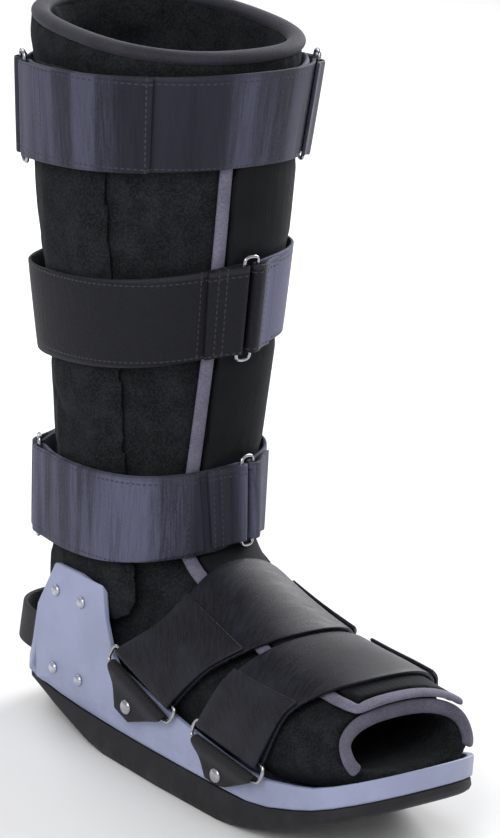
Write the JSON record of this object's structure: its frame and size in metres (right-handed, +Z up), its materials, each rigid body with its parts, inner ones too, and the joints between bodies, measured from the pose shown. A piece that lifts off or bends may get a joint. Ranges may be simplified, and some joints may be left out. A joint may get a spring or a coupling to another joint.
{
  "type": "medical walking boot",
  "caption": "Tall walking boot: padded open-toe bootie in a plastic foot shell with side walls on a rocker sole, closed by a front flap and straps through wire rings.",
  "frame": {"origin": "on the floor, on the flat tread, in the boot's plane of symmetry, 134 mm in front of the heel tip", "axes": "+Z up, toe towards -Y, the wearer's right side at -X"},
  "size_m": [0.1499, 0.3143, 0.3865],
  "materials": {
    "rubber": "moulded, matt",
    "shell": "moulded, fine grain",
    "loop": "brushed loop fabric",
    "loop_strap": "smooth woven",
    "flap": "brushed loop fabric",
    "binding": "folded tape",
    "webbing": "loop face with a sheen",
    "hook": "woven webbing",
    "steel": "nickel-plated wire",
    "aluminium": "satin"
  },
  "bodies": {
    "root": {"outsole": "rubber", "shell": "shell", "liner": "loop", "front_flap": "flap", "flap_binding": "binding", "rim_binding": "binding", "toe_binding": "binding", "sleeve_right": "loop", "sleeve_left": "loop", "upright_right": "aluminium", "upright_left": "aluminium", "strap_top_front": "webbing", "strap_top_rear": "webbing", "strap_middle": "loop_strap", "strap_ankle_front": "webbing", "strap_ankle_rear": "webbing", "strap_instep": "webbing", "strap_forefoot": "webbing", "ring_top_left": "steel", "ring_top_right": "steel", "ring_middle": "steel", "ring_ankle_left": "steel", "ring_ankle_right": "steel", "heel_strap": "hook", "ring_instep_right": "steel", "chafe_instep_right": "hook", "rivet_instep_right": "steel", "ring_instep_left": "steel", "chafe_instep_left": "hook", "rivet_instep_left": "steel", "ring_forefoot_right": "steel", "chafe_forefoot_right": "hook", "rivet_forefoot_right": "steel", "ring_forefoot_left": "steel", "chafe_forefoot_left": "hook", "rivet_forefoot_left": "steel", "rivet_wall_right_low_rear": "aluminium", "rivet_wall_right_low_front": "aluminium", "rivet_wall_right_high_rear": "aluminium", "rivet_wall_right_high_front": "aluminium", "rivet_wall_left_low_rear": "aluminium", "rivet_wall_left_low_front": "aluminium", "rivet_wall_left_high_rear": "aluminium", "rivet_wall_left_high_front": "aluminium"}
  },
  "joints": []
}
